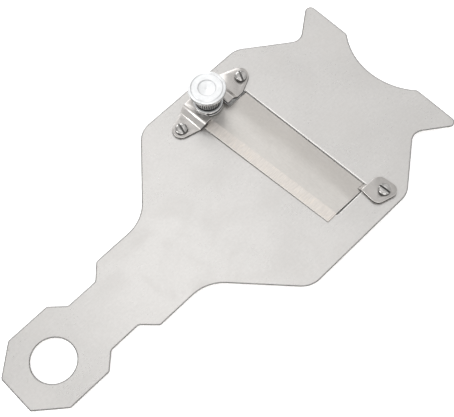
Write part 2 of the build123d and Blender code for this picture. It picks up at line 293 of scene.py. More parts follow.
def satin_grain():
    """Fine brushed lines along Y, and the slow change of tone that rolled sheet has."""
    known = bpy.data.node_groups.get("Satin grain")
    if known:
        return known
    bench, given, out = new_effect(
        "Satin grain",
        [
            ("Place", "NodeSocketVector", None),
            ("Lines", "NodeSocketFloat", 4000.0),
            ("Run", "NodeSocketFloat", 260.0),
        ],
        [("Tone", "NodeSocketFloat"), ("Height", "NodeSocketFloat")],
    )
    x, y, z = bench.parts(given["Place"])
    drawn = bench.joined(
        bench.math("MULTIPLY", x, given["Lines"]),
        bench.math("MULTIPLY", y, given["Run"]),
        bench.math("MULTIPLY", z, given["Lines"]),
    )
    lines = bench.noise(drawn, 1.0, 3.0, 0.6)
    pearl = bench.noise(given["Place"], 900.0, 3.0, 0.65)
    slow = bench.noise(given["Place"], 30.0, 3.0, 0.5, 0.6)
    tone = bench.math("ADD", bench.math("MULTIPLY", lines, 0.3), bench.math("MULTIPLY", pearl, 0.35))
    bench.feed(out["Tone"], bench.math("ADD", tone, bench.math("MULTIPLY", slow, 0.35)))
    level = bench.math("ADD", bench.math("MULTIPLY", lines, 0.6), bench.math("MULTIPLY", pearl, 0.4))
    bench.feed(out["Height"], level)
    return bench.tree


def handling_marks():
    """Dull smudges from fingers, and hairline scratches in three directions."""
    known = bpy.data.node_groups.get("Handling marks")
    if known:
        return known
    bench, given, out = new_effect(
        "Handling marks",
        [("Place", "NodeSocketVector", None), ("Wear", "NodeSocketFloat", 0.5)],
        [("Smudge", "NodeSocketFloat"), ("Scratch", "NodeSocketFloat")],
    )
    cloud = bench.noise(given["Place"], 55.0, 4.0, 0.6, 0.8)
    bench.feed(out["Smudge"], bench.between(cloud, 0.44, 0.72))
    hairs = 0.0
    for turn, offset in ((0.35, 0.0), (1.25, 3.1), (2.5, 7.7)):
        turned = bench.node("ShaderNodeVectorRotate", rotation_type="Z_AXIS")
        bench.feed(turned.inputs["Vector"], given["Place"])
        bench.feed(turned.inputs["Angle"], turn)
        x, y, z = bench.parts(turned.outputs[0])
        drawn = bench.joined(bench.math("MULTIPLY", x, 3200.0), bench.math("MULTIPLY", y, 55.0), offset)
        hair = bench.between(bench.noise(drawn, 1.0, 1.0, 0.4), 0.7, 0.78)
        hairs = bench.math("MAXIMUM", hairs, hair)
    patches = bench.between(bench.noise(given["Place"], 38.0, 2.0, 0.5), 0.4, 0.65)
    share = bench.math("ADD", bench.math("MULTIPLY", patches, 0.6), given["Wear"])
    bench.feed(out["Scratch"], bench.math("MULTIPLY", hairs, share, clamp=True))
    return bench.tree


def sheared_edge():
    """Sides of stamped sheet with the punch's drag marks, and rims where the surface starts to turn over."""
    known = bpy.data.node_groups.get("Sheared edge")
    if known:
        return known
    bench, given, out = new_effect(
        "Sheared edge",
        [(key, "NodeSocketVector", None) for key in ("Place", "Normal", "Rolled")],
        [("Side", "NodeSocketFloat"), ("Rim", "NodeSocketFloat"), ("Drag", "NodeSocketFloat")],
    )
    up = bench.math("ABSOLUTE", bench.parts(given["Normal"])["Z"])
    side = bench.between(up, 0.55, 0.25)
    bench.feed(out["Side"], side)
    likeness = bench.math("ABSOLUTE", bench.vector("DOT_PRODUCT", given["Normal"], given["Rolled"]))
    rim = bench.math("MAXIMUM", bench.between(up, 0.985, 0.9), bench.between(likeness, 0.998, 0.965))
    bench.feed(out["Rim"], bench.math("MULTIPLY", rim, bench.between(up, 0.3, 0.6)))
    drag = bench.noise(bench.vector("MULTIPLY", given["Place"], (3200.0, 3200.0, 250.0)), 1.0, 3.0, 0.7)
    bench.feed(out["Drag"], bench.between(drag, 0.3, 0.7))
    return bench.tree


def turned_rings():
    """Tool marks of a lathe, round the Z axis of the piece."""
    known = bpy.data.node_groups.get("Turned rings")
    if known:
        return known
    bench, given, out = new_effect(
        "Turned rings",
        [("Place", "NodeSocketVector", None), ("Rings", "NodeSocketFloat", 9000.0)],
        [("Tone", "NodeSocketFloat"), ("Height", "NodeSocketFloat"), ("Radius", "NodeSocketFloat")],
    )
    x, y, z = bench.parts(given["Place"])
    radius = bench.vector("LENGTH", bench.joined(x, y, 0.0))
    run = bench.math("MULTIPLY", bench.math("ADD", radius, z), given["Rings"])
    marks = bench.noise(bench.joined(run, 0.0, 0.0), 1.0, 2.0, 0.7)
    cloud = bench.noise(given["Place"], 420.0, 3.0, 0.6)
    bench.feed(out["Height"], marks)
    tone = bench.math("ADD", bench.math("MULTIPLY", marks, 0.5), bench.math("MULTIPLY", cloud, 0.5))
    bench.feed(out["Tone"], tone)
    bench.feed(out["Radius"], radius)
    return bench.tree


# Finishes


def shaded(tint, amount):
    """A colour made darker or lighter."""
    return tuple(min(1.0, channel * amount) for channel in tint[:3]) + (1.0,)


def new_finish(name, metallic):
    """Starts a material: its bench, its shader, and the place and normal in the piece's own axes."""
    made = bpy.data.materials.new(name)
    made.use_nodes = True
    made.node_tree.nodes.clear()
    bench = Bench(made.node_tree)
    shader = bench.node("ShaderNodeBsdfPrincipled")
    shader.inputs["Metallic"].default_value = metallic
    output = bench.node("ShaderNodeOutputMaterial")
    made.node_tree.links.new(shader.outputs[0], output.inputs["Surface"])
    here = bench.node("ShaderNodeTexCoord").outputs
    return made, bench, shader, here["Object"], here["Normal"]


def relief(bench, shader, level, distance):
    """Gives the shader fine relief from a level between 0 and 1."""
    bump = bench.node("ShaderNodeBump")
    bump.inputs["Strength"].default_value = 1.0
    bump.inputs["Distance"].default_value = distance
    bench.feed(bump.inputs["Height"], level)
    bench.feed(shader.inputs["Normal"], bump.outputs["Normal"])


def satin_sheet(
    name,
    tint,
    rough=0.24,
    lines=4000.0,
    run=260.0,
    wear=0.3,
    side_dark=0.2,
    rim=0.35,
    across=False,
    roll=0.1 * MM,
    window=None,
):
    """Satin stainless sheet with grain, smudges and hairlines.

    The tint is multiplied by side_dark on sheared sides and by rim on the rims, which are about as wide as
    roll. Below 1 this is a painted shade, above 1 a painted highlight.
    Both are painted highlights instead inside window, given as its half width in X and its front and back in Y.
    """
    made, bench, shader, place, normal = new_finish(name, SHEET_METALLIC)
    drawn = place
    if across:
        x, y, z = bench.parts(place)
        drawn = bench.joined(y, x, z)
    grain = bench.effect(satin_grain(), Place=drawn, Lines=lines, Run=run)
    marks = bench.effect(handling_marks(), Place=place, Wear=wear)
    rounded = bench.node("ShaderNodeBevel", samples=6)
    bench.feed(rounded.inputs["Radius"], roll)
    edge = bench.effect(sheared_edge(), Place=place, Normal=normal, Rolled=rounded.outputs["Normal"])
    shade = bench.between(grain["Tone"], 0.3, 0.7)
    base = bench.mixed(shade, shaded(tint, 0.9), shaded(tint, 1.05))
    smudged = shaded((tint[0], tint[1] * 0.99, tint[2] * 0.975), 0.93)
    base = bench.mixed(bench.math("MULTIPLY", marks["Smudge"], 0.35), base, smudged)
    base = bench.mixed(bench.math("MULTIPLY", marks["Scratch"], 0.3), base, shaded(tint, 1.12))
    # Sheared sides: the punch's drag marks, with side_dark below 1 as a painted shade and above 1 as a painted
    # highlight.
    drag_marks_and_painted_side_light = bench.mixed(edge["Drag"], shaded(tint, side_dark * 0.8), shaded(tint, side_dark * 1.25))
    # Rims: rim below 1 is a painted shade, above 1 a painted highlight.
    painted_rim_light = shaded(tint, rim)
    if window:
        x, y, z = bench.parts(place)
        reach, front, behind = window
        beside = bench.between(bench.math("ABSOLUTE", x), reach + MM, reach)
        inside = bench.math("MULTIPLY", beside, bench.between(y, front, front + MM))
        inside = bench.math("MULTIPLY", inside, bench.between(y, behind + MM, behind))
        # Inside the window the rims and sides get a painted highlight.
        painted_rim_light = bench.mixed(inside, painted_rim_light, shaded(tint, 1.5))
        drag_marks_and_painted_side_light = bench.mixed(inside, drag_marks_and_painted_side_light, shaded(tint, 1.4))
        cut = bench.math("MULTIPLY", inside, bench.math("MAXIMUM", edge["Side"], edge["Rim"]))
        bench.feed(shader.inputs["Metallic"], bench.between(cut, 0.0, 1.0, SHEET_METALLIC, CUT_METALLIC))
    base = bench.mixed(edge["Side"], base, drag_marks_and_painted_side_light)
    base = bench.mixed(edge["Rim"], base, painted_rim_light)
    dull = bench.math("MULTIPLY_ADD", marks["Smudge"], 0.05, rough)
    dull = bench.math("MULTIPLY_ADD", grain["Tone"], 0.08, dull)
    dull = bench.math("MULTIPLY_ADD", marks["Scratch"], -0.06, dull)
    dull = bench.math("MULTIPLY_ADD", edge["Side"], 0.12, dull)
    level = bench.math("MULTIPLY_ADD", marks["Scratch"], -0.3, grain["Height"])
    return made, bench, shader, place, base, dull, level


def plain_sheet(name, tint, **look):
    """Satin sheet with nothing more on it."""
    made, bench, shader, place, base, dull, level = satin_sheet(name, tint, **look)
    bench.feed(shader.inputs["Base Color"], base)
    bench.feed(shader.inputs["Roughness"], dull)
    relief(bench, shader, level, 4.5e-6)
    return made


def ground_blade(name, tint, bevel_tint):
    """Blade steel with a painted reflection, lighter along its front and darker behind, with the warm ground
    band of its bevel and marks from the wheel.
    """
    # The sheared sides are darkened to a painted shade, and the rims are lightened to a painted highlight.
    made, bench, shader, place, base, dull, level = satin_sheet(
        name, tint, rough=0.36, lines=3400.0, run=200.0, across=True, side_dark=0.12, rim=1.2
    )
    x, y, z = bench.parts(place)
    edge_line = bench.math("MULTIPLY_ADD", x, math.tan(EDGE_SLANT), EDGE_START)
    back = bench.math("SUBTRACT", y, edge_line)
    wander = bench.noise(bench.joined(bench.math("MULTIPLY", x, 900.0), 0.0, 0.0), 1.0, 2.0, 0.5)
    limit = bench.math("MULTIPLY_ADD", wander, 0.5 * MM, BEVEL_WIDTH)
    band = bench.between(bench.math("SUBTRACT", limit, back), -0.4 * MM, 0.4 * MM)
    streaks = bench.noise(
        bench.joined(bench.math("MULTIPLY", x, 2600.0), bench.math("MULTIPLY", y, 240.0), 0.0), 1.0, 3.0, 0.7
    )
    burnt = bench.noise(place, 320.0, 4.0, 0.7, 0.5)
    warm = bench.mixed(bench.between(burnt, 0.48, 0.62), bevel_tint, WARM_STEEL)
    ground = bench.mixed(bench.between(streaks, 0.3, 0.7), shaded(bevel_tint, 0.84), warm)
    # Painted reflection: the top is lighter in front and darker from about 17 to 25 mm behind the edge, along a
    # wandering line.
    broad = bench.joined(bench.math("MULTIPLY", x, 22.0), bench.math("MULTIPLY", y, 90.0), 0.0)
    drift = bench.noise(broad, 1.0, 3.0, 0.5)
    painted_dark_behind = bench.between(bench.math("MULTIPLY_ADD", drift, 14 * MM, back), 17 * MM, 25 * MM)
    lighter = bench.mixed(1.0, base, (1.12, 1.12, 1.115, 1.0), "MULTIPLY")
    darker = bench.mixed(1.0, base, (0.92, 0.91, 0.9, 1.0), "MULTIPLY")
    base = bench.mixed(painted_dark_behind, lighter, darker)
    base = bench.mixed(band, base, ground)
    keen = bench.between(back, 0.35 * MM, 0.1 * MM)
    base = bench.mixed(bench.math("MULTIPLY", keen, 0.6), base, (0.8, 0.79, 0.77, 1.0))
    dull = bench.math("MULTIPLY_ADD", band, 0.04, dull)
    level = bench.math("MULTIPLY_ADD", bench.math("MULTIPLY", streaks, band), 0.8, level)
    bench.feed(shader.inputs["Base Color"], base)
    bench.feed(shader.inputs["Roughness"], dull)
    relief(bench, shader, level, 6e-6)
    return made


def turned_metal(name, tint, rough, rings=9000.0, painted_shade=None, marks_deep=3e-6, frosted=None):
    """Metal off the lathe, with a painted shade, near black, where the given mask lies. Frosted is how metallic
    faces that look up are.
    """
    made, bench, shader, place, normal = new_finish(name, TURNED_METALLIC)
    if frosted:
        upward = bench.between(bench.parts(normal)["Z"], 0.6, 0.95)
        bench.feed(shader.inputs["Metallic"], bench.between(upward, 0.0, 1.0, TURNED_METALLIC, frosted))
    marks = bench.effect(turned_rings(), Place=place, Rings=rings)
    base = bench.mixed(bench.between(marks["Tone"], 0.3, 0.7), shaded(tint, 0.9), shaded(tint, 1.06))
    dull = bench.math("MULTIPLY_ADD", marks["Tone"], 0.12, rough)
    if frosted:
        dull = bench.math("MULTIPLY_ADD", upward, 0.2, dull)
    if painted_shade:
        painted_shade_mask = painted_shade(bench, place, marks["Radius"])
        # Painted shade: near black where the mask lies.
        base = bench.mixed(painted_shade_mask, base, shaded(tint, 0.04))
        dull = bench.math("MULTIPLY_ADD", painted_shade_mask, 0.2, dull)
    bench.feed(shader.inputs["Base Color"], base)
    bench.feed(shader.inputs["Roughness"], dull)
    relief(bench, shader, marks["Height"], marks_deep)
    return made


def knob_painted_shade(sizes):
    """Painted shade in the hub's flutes, between the rim's knurls, in the cove, in the top's groove and at the
    dish's wall, on the bottom face and under the rim.
    """

    def painted_shade_mask(bench, place, radius):
        z = bench.parts(place)["Z"]
        hub_low = sizes.base_height + sizes.cove_height
        hub_high = sizes.height - sizes.flange_height
        climb = (sizes.hub_top_diameter - sizes.hub_diameter) / 2 / (hub_high - hub_low)
        crest = bench.math("MULTIPLY_ADD", z, climb, sizes.hub_diameter / 2 - hub_low * climb)
        depth = bench.math("SUBTRACT", crest, radius)
        in_hub = bench.math(
            "MULTIPLY",
            bench.between(z, hub_low - 0.1 * MM, hub_low),
            bench.between(z, hub_high + 0.05 * MM, hub_high),
        )
        flute = bench.math("MULTIPLY", bench.between(depth, 0.02 * MM, 0.12 * MM), in_hub)
        rim = bench.math("SUBTRACT", sizes.flange_diameter / 2, radius)
        in_rim = bench.math(
            "MULTIPLY",
            bench.between(z, hub_high + 0.15 * MM, hub_high + 0.35 * MM),
            bench.between(z, sizes.height - 0.25 * MM, sizes.height - 0.4 * MM),
        )
        in_rim = bench.math("MULTIPLY", in_rim, bench.between(rim, 0.5 * MM, 0.35 * MM))
        knurl = bench.math("MULTIPLY", bench.between(rim, 0.03 * MM, 0.13 * MM), in_rim)
        in_cove = bench.math(
            "MULTIPLY",
            bench.between(z, sizes.base_height - 0.05 * MM, sizes.base_height + 0.1 * MM),
            bench.between(z, hub_low + 0.1 * MM, hub_low - 0.2 * MM),
        )
        # Painted shade in the top's ring groove and at the dish's wall.
        groove = bench.math("ABSOLUTE", bench.math("SUBTRACT", radius, sizes.groove_diameter / 2))
        groove = bench.between(groove, 0.3 * MM, 0.12 * MM, 0.0, 0.2)
        wall = bench.math("ABSOLUTE", bench.math("SUBTRACT", radius, sizes.recess_diameter / 2 - 0.1 * MM))
        wall = bench.between(wall, 0.35 * MM, 0.1 * MM, 0.0, 0.24)
        on_top = bench.between(z, hub_high, sizes.height - MM)
        turned = bench.math("MULTIPLY", bench.math("MAXIMUM", groove, wall), on_top)
        under = bench.between(z, 0.06 * MM, 0.02 * MM)
        below_rim = bench.math(
            "MULTIPLY",
            bench.between(radius, sizes.hub_top_diameter / 2, sizes.hub_top_diameter / 2 + 0.2 * MM),
            bench.between(z, hub_high + 0.2 * MM, hub_high + 0.08 * MM, 0.0, 0.85),
        )
        # Painted shade: the strongest of these masks, with the knurls at 0.8.
        shade = bench.math("MULTIPLY", knurl, 0.8)
        for more in (flute, in_cove, turned, under, below_rim):
            shade = bench.math("MAXIMUM", shade, more)
        return shade

    return painted_shade_mask


def thread_painted_shade(outer, top, head=None, collar=None):
    """Painted shade in a thread's roots below top, low on a head's side and over a collar's top face."""

    def painted_shade_mask(bench, place, radius):
        z = bench.parts(place)["Z"]
        depth = bench.math("SUBTRACT", outer / 2, radius)
        threaded = bench.between(z, top, top - 0.1 * MM)
        shade = bench.math("MULTIPLY", bench.between(depth, 0.05 * MM, 0.3 * MM), threaded)
        if collar:
            inside = bench.math(
                "MULTIPLY",
                bench.between(radius, collar - 0.12 * MM, collar - 0.22 * MM),
                bench.between(z, top + 0.55 * MM, top + 0.62 * MM),
            )
            shade = bench.math("MAXIMUM", shade, inside)
        if head:
            low = bench.math("MULTIPLY", bench.between(z, head * 0.8, head * 0.62), bench.between(z, top, 0.0))
            shade = bench.math("MAXIMUM", shade, bench.math("MULTIPLY", low, 0.8))
        return shade

    return painted_shade_mask


def give(node, finish):
    """Puts a finish on a CAD node."""
    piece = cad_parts[node]
    if not piece.material_slots:
        piece.data.materials.append(finish)
    for held in piece.material_slots:
        held.material = finish


# Mesh work, in millimetres until it is finished


def lathe(bm, rings, segments, ripple=None):
    """Skins rings of (radius, height, kind) about Z. Ripple gives a kind's depth of cut at an angle."""
    loops = []
    for radius, level, kind in rings:
        if radius == 0:
            loops.append([bm.verts.new((0, 0, level))])
            continue
        loop = []
        for i in range(segments):
            angle = FULL_TURN * i / segments
            reach = radius - (ripple(kind, angle) if kind else 0)
            loop.append(bm.verts.new((reach * math.cos(angle), reach * math.sin(angle), level)))
        loops.append(loop)
    for low, high in zip(loops, loops[1:]):
        for i in range(segments):
            j = (i + 1) % segments
            corners = [low[i % len(low)], low[j % len(low)], high[j % len(high)], high[i % len(high)]]
            corners = list(dict.fromkeys(corners))
            if len(corners) > 2:
                bm.faces.new(corners)


def thread(bm, pitch, outer, root, low, high, point, segments):
    """Skins a right-hand thread from low to high, its end cut back at 45 degrees to the point's radius."""
    flanks = ((0.06, root), (0.44, outer), (0.56, outer), (0.94, root))
    turns = math.ceil((high - low) / pitch) + 1
    columns = []
    for i in range(segments):
        angle = FULL_TURN * i / segments
        column = []
        for turn in range(-1, turns):
            for share, radius in flanks:
                level = min(max(low + (turn + share + i / segments) * pitch, low), high)
                reach = min(radius, point + level - low)
                column.append(bm.verts.new((reach * math.cos(angle), reach * math.sin(angle), level)))
        columns.append(column)
    for i, here in enumerate(columns):
        last = i + 1 == segments
        there = columns[0] if last else columns[i + 1]
        step = len(flanks) if last else 0
        for k in range(len(here) - 1 - step):
            bm.faces.new((here[k], there[k + step], there[k + step + 1], here[k + 1]))
    bm.faces.new([column[0] for column in columns][::-1])
    bm.faces.new([column[-1] for column in columns])
    bmesh.ops.remove_doubles(bm, verts=bm.verts, dist=1e-4)
    bmesh.ops.dissolve_degenerate(bm, edges=bm.edges, dist=1e-4)


def finished(name, bm, origin, finish, sharp=35.0, scale=MM):
    """Turns mesh work into a piece at its origin, smooth but for its sharp edges."""
    bmesh.ops.scale(bm, vec=(scale, scale, scale), verts=bm.verts)
    bmesh.ops.recalc_face_normals(bm, faces=bm.faces)
    mesh = bpy.data.meshes.new(name)
    bm.to_mesh(mesh)
    bm.free()
    mesh.shade_smooth()
    mesh.set_sharp_from_angle(angle=math.radians(sharp))
    mesh.materials.append(finish)
    piece = bpy.data.objects.new(name, mesh)
    piece.location = origin
    bpy.context.scene.collection.objects.link(piece)
    return piece


def softened(name, node, finish, edge_break):
    """A CAD node's shape again, with its sharp edges rounded off."""
    bm = bmesh.new()
    bm.from_mesh(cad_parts[node].data)
    bmesh.ops.remove_doubles(bm, verts=bm.verts, dist=1e-6)
    bmesh.ops.dissolve_limit(bm, angle_limit=math.radians(1), verts=bm.verts, edges=bm.edges)
    corners = [edge for edge in bm.edges if edge.is_manifold and edge.calc_face_angle() > math.radians(38)]
    bmesh.ops.bevel(
        bm, geom=corners, offset=edge_break, segments=2, profile=0.5, affect="EDGES", clamp_overlap=True
    )
    return finished(name, bm, (0, 0, 0), finish, scale=1.0)


def cut_with(piece, cutter):
    """Takes the cutter's shape out of a piece, and removes the cutter."""
    saw = piece.modifiers.new("Slot", "BOOLEAN")
    saw.object = cutter
    saw.operation = "DIFFERENCE"
    saw.solver = "EXACT"
    bpy.context.view_layer.update()
    seen = piece.evaluated_get(bpy.context.evaluated_depsgraph_get())
    cut = bpy.data.meshes.new_from_object(seen)
    piece.modifiers.clear()
    piece.data = cut
    bpy.data.objects.remove(cutter)
    return piece


# Pieces


def knob_ripple(sizes):
    """Depth of a flute or knurl at an angle, in millimetres."""
    counts = {"flute": sizes.flutes, "knurl": sizes.flutes * sizes.knurls_per_flute}
    depths = {"flute": sizes.flute_depth / MM, "knurl": sizes.knurl_depth / MM}

    def ripple(kind, angle):
        share = angle / FULL_TURN * counts[kind] % 1
        return depths[kind] * (1 - abs(2 * share - 1)) ** 1.25

    return ripple


def knob_rings(sizes):
    """The knob's rings from its base disc to the middle of the dished top, in millimetres."""
    top = sizes.height / MM
    rim = sizes.flange_diameter / 2 / MM
    under = top - sizes.flange_height / MM
    base, base_top = sizes.base_diameter / 2 / MM, sizes.base_height / MM
    cove, hub_low = sizes.cove_diameter / 2 / MM, (sizes.base_height + sizes.cove_height) / MM
    hub, hub_top = sizes.hub_diameter / 2 / MM, sizes.hub_top_diameter / 2 / MM
    groove, dish = sizes.groove_diameter / 2 / MM, sizes.recess_diameter / 2 / MM
    floor, dimple = top - sizes.recess_depth / MM, sizes.dimple_diameter / 2 / MM
    return [
        (0, 0.05, None),
        (base - 0.15, 0, None),
        (base - 0.04, 0.05, None),
        (base, 0.16, None),
        (base, base_top - 0.16, None),
        (base - 0.04, base_top - 0.05, None),
        (base - 0.15, base_top, None),
        (cove + 0.18, base_top + 0.04, None),
        (cove + 0.04, base_top + 0.25, None),
        (cove, base_top + 0.6, None),
        (cove + 0.05, base_top + 1.05, None),
        (cove + 0.2, base_top + 1.45, None),
        (hub - 0.32, hub_low - 0.1, None),
        (hub - 0.12, hub_low, "flute"),
        (hub, hub_low + 0.25, "flute"),
        (hub + (hub_top - hub) * 0.5, (hub_low + under) / 2, "flute"),
        (hub_top, under - 0.12, "flute"),
        (hub_top - 0.32, under, None),
        (rim - 0.5, under, None),
        (rim - 0.3, under + 0.06, None),
        (rim - 0.22, under + 0.14, None),
        (rim, under + 0.36, "knurl"),
        (rim, top - 0.42, "knurl"),
        (rim - 0.22, top - 0.2, None),
        (rim - 0.34, top - 0.08, None),
        (rim - 0.55, top, None),
        (groove + 0.28, top, None),
        (groove + 0.16, top - 0.12, None),
        (groove, top - 0.2, None),
        (groove - 0.16, top - 0.12, None),
        (groove - 0.28, top, None),
        (dish + 0.1, top, None),
        (dish, top - 0.06, None),
        (dish - 0.06, floor + 0.08, None),
        (dish - 0.2, floor, None),
        (dimple + 0.1, floor, None),
        (dimple * 0.85, floor - 0.06, None),
        (dimple * 0.5, floor - 0.2, None),
        (dimple * 0.1, floor - 0.33, None),
        (0, floor - 0.34, None),
    ]


def turned_knob(sizes, finish):
    """The adjusting knob on its screw."""
    x, y, low, high = middle("adjusting_knob")
    bm = bmesh.new()
    lathe(bm, knob_rings(sizes), sizes.flutes * sizes.knurls_per_flute * 4, knob_ripple(sizes))
    return finished("knurled_knob", bm, (x, y, low), finish, sharp=30.0)


def collared_screw(sizes, finish):
    """The adjusting screw: thread below, collar under the bridge and neck in its slot."""
    x, y, low, high = middle("adjusting_screw")
    knob_low = middle("adjusting_knob")[2]
    bridge_low = middle("bridge_bracket")[3] - BRIDGE_SHEET
    collar_high = (bridge_low - 0.05 * MM - low) / MM
    collar_low = collar_high - COLLAR_THICKNESS
    neck_high = (knob_low - low) / MM
    collar, neck = sizes.collar_diameter / 2 / MM, sizes.groove_diameter / 2 / MM
    rod = sizes.adjusting_diameter / 2 / MM
    pitch = sizes.adjusting_pitch / MM
    bm = bmesh.new()
    thread(bm, pitch, rod, rod - THREAD_DEPTH * pitch, 0, collar_low - 0.05, rod - 0.5, 48)
    rings = [
        (0, collar_low, None),
        (collar - 0.1, collar_low, None),
        (collar, collar_low + 0.1, None),
        (collar, collar_high - 0.1, None),
        (collar - 0.1, collar_high, None),
        (neck + 0.06, collar_high, None),
        (neck, collar_high + 0.06, None),
        (neck, neck_high - 0.02, None),
        (0, neck_high - 0.02, None),
    ]
    lathe(bm, rings, 96)
    return finished("adjusting_screw_threaded", bm, (x, y, low), finish)


def slotted_screw(name, node, turn, sizes, finish):
    """An M3 screw with a small domed head and a sawn slot."""
    x, y, low, high = middle(node)
    radius, top = sizes.head_diameter / 2 / MM, sizes.head_height / MM
    seat = high - sizes.head_height
    rings = [
        (0, 0, None),
        (radius - 0.2, 0, None),
        (radius - 0.05, 0.06, None),
        (radius, 0.2, None),
        (radius, top * 0.66, None),
        (radius - 0.05, top * 0.76, None),
        (radius - 0.2, top * 0.87, None),
        (radius - 0.5, top * 0.94, None),
        (radius * 0.5, top * 0.985, None),
        (0, top, None),
    ]
    bm = bmesh.new()
    lathe(bm, rings, 64)
    head = finished(name, bm, (0, 0, 0), finish, scale=1.0)
    bm = bmesh.new()
    saw = Matrix.Rotation(turn, 4, "Z") @ Matrix.Translation((0, 0, top))
    saw = saw @ Matrix.Diagonal((4 * radius, sizes.slot_width / MM, 2 * sizes.slot_depth / MM, 1))
    bmesh.ops.create_cube(bm, size=1, matrix=saw)
    cutter = finished("slot_saw", bm, (0, 0, 0), finish, scale=1.0)
    cut_with(head, cutter)
    bm = bmesh.new()
    bm.from_mesh(head.data)
    bpy.data.objects.remove(head)
    walls = [e for e in bm.edges if e.is_manifold and e.calc_face_angle() > math.radians(50)]
    bmesh.ops.bevel(bm, geom=walls, offset=0.05, segments=2, profile=0.5, affect="EDGES", clamp_overlap=True)
    rod, pitch = sizes.thread_diameter / 2 / MM, sizes.thread_pitch / MM
    shank = bmesh.new()
    thread(shank, pitch, rod, rod - THREAD_DEPTH * pitch, (low - seat) / MM, 0.02, rod - 0.4, 40)
    joined = bpy.data.meshes.new("shank")
    shank.to_mesh(joined)
    shank.free()
    bm.from_mesh(joined)
    bpy.data.meshes.remove(joined)
    return finished(name, bm, (x, y, seat), finish)


def hex_nut(name, node, sizes, finish):
    """An M3 nut, chamfered at both faces, with a countersunk bore."""
    x, y, low, high = middle(node)
    flat, thick = sizes.nut_flats / 2 / MM, (high - low) / MM
    bore = sizes.thread_diameter / 2 / MM + 0.02
    fall = math.tan(math.radians(30))
    segments = 72
    bm = bmesh.new()
    columns = []
    for i in range(segments):
        angle = FULL_TURN * i / segments
        off_flat = (angle + math.pi / 6) % (math.pi / 3) - math.pi / 6
        side = flat / math.cos(off_flat)
        drop = (side - flat * 0.96) * fall
        outline = [
            (bore, 0.25),
            (bore + 0.25, 0.0),
            (flat * 0.96, 0.0),
            (side, drop),
            (side, thick - drop),
            (flat * 0.96, thick),
            (bore + 0.25, thick),
            (bore, thick - 0.25),
        ]
        columns.append([bm.verts.new((r * math.cos(angle), r * math.sin(angle), z)) for r, z in outline])
    for i in range(segments):
        here, there = columns[i], columns[(i + 1) % segments]
        for k in range(len(here)):
            m = (k + 1) % len(here)
            bm.faces.new((here[k], there[k], there[m], here[m]))
    return finished(name, bm, (x, y, low), finish, sharp=25.0)


# Stage


def resting_floor(finish):
    """A wide pale floor under the slicer's three lowest points."""
    touch = [Vector(RING_CORNER)]
    for node in ("bridge_screw_front", "ear_screw"):
        x, y, low, high = middle(node)
        touch.append(Vector((x, y, low)))
    up = (touch[1] - touch[0]).cross(touch[2] - touch[0]).normalized()
    if up.z < 0:
        up = -up
    bm = bmesh.new()
    turn = Vector((0, 0, 1)).rotation_difference(up).to_matrix().to_4x4()
    foot = touch[0] - up * 0.03 * MM
    bmesh.ops.create_grid(bm, x_segments=8, y_segments=8, size=2.5, matrix=Matrix.Translation(foot) @ turn)
    return finished("studio_floor", bm, (0, 0, 0), finish, scale=1.0)


def floor_finish(tint):
    """Matt card with a faint tooth. Its glow hides the plate's shadow, but not the one under the window."""
    made, bench, shader, place, normal = new_finish("Studio card", 0.0)
    tooth = bench.noise(place, 2500.0, 2.0, 0.6)
    base = bench.mixed(bench.between(tooth, 0.3, 0.7), shaded(tint, 0.99), tint)
    bench.feed(shader.inputs["Base Color"], base)
    bench.feed(shader.inputs["Roughness"], bench.math("MULTIPLY_ADD", tooth, 0.1, 0.85))
    shader.inputs["Specular IOR Level"].default_value = 0.1
    x, y, z = bench.parts(place)
    aside = bench.between(bench.math("ABSOLUTE", x), *UNLIT_X)
    beyond = bench.between(bench.math("ABSOLUTE", bench.math("SUBTRACT", y, UNLIT_MIDDLE)), *UNLIT_Y)
    glow = bench.mixed(bench.math("MAXIMUM", aside, beyond), BLACK, tint)
    bench.feed(shader.inputs["Emission Color"], glow)
    shader.inputs["Emission Strength"].default_value = FLOOR_GLOW
    relief(bench, shader, tooth, 1e-5)
    return made


def studio_sky(strength):
    """Soft studio light: a bright patch overhead, past the blade, over walls that are darker lower down."""
    world = bpy.data.worlds.new("Studio")
    world.use_nodes = True
    world.node_tree.nodes.clear()
    bench = Bench(world.node_tree)
    x, y, z = bench.parts(bench.node("ShaderNodeTexCoord").outputs["Generated"])
    lift = bench.between(z, 0.1, 0.75, 0.36, 1.0)
    near = bench.between(bench.math("ABSOLUTE", bench.math("ADD", y, 0.03)), 0.0, 0.22, 0.32, 1.0)
    far = bench.between(y, 0.235, 0.28, 1.0, 0.53)
    left = bench.between(x, -0.48, -0.385, 0.42, 1.0)
    right = bench.between(x, -0.235, -0.17, 1.0, 0.75)
    pattern = bench.math("MULTIPLY", bench.math("MULTIPLY", near, far), bench.math("MULTIPLY", left, right))
    faded = bench.math("MULTIPLY", bench.math("SUBTRACT", 1.0, pattern), bench.between(z, 0.3, 0.5))
    bright = bench.math("MULTIPLY", bench.math("MULTIPLY", lift, bench.math("SUBTRACT", 1.0, faded)), strength)
    bright = bench.math("MULTIPLY", bright, bench.between(y, -0.65, -0.88, 1.0, 0.3))
    back = bench.node("ShaderNodeBackground")
    back.inputs["Color"].default_value = (1.0, 0.995, 0.985, 1.0)
    bench.feed(back.inputs["Strength"], bright)
    output = bench.node("ShaderNodeOutputWorld")
    world.node_tree.links.new(back.outputs[0], output.inputs["Surface"])
    return world


def soft_light(name, towards, distance, size, power):
    """A square soft light that faces the blade from a direction."""
    lamp = bpy.data.lights.new(name, "AREA")
    lamp.shape = "SQUARE"
    lamp.size = size
    lamp.energy = power
    place = bpy.data.objects.new(name, lamp)
    way = Vector(towards).normalized()
    place.location = Vector((0.0, 0.1, 0.0)) + way * distance
    place.rotation_euler = way.to_track_quat("Z", "Y").to_euler()
    bpy.context.scene.collection.objects.link(place)
    return place


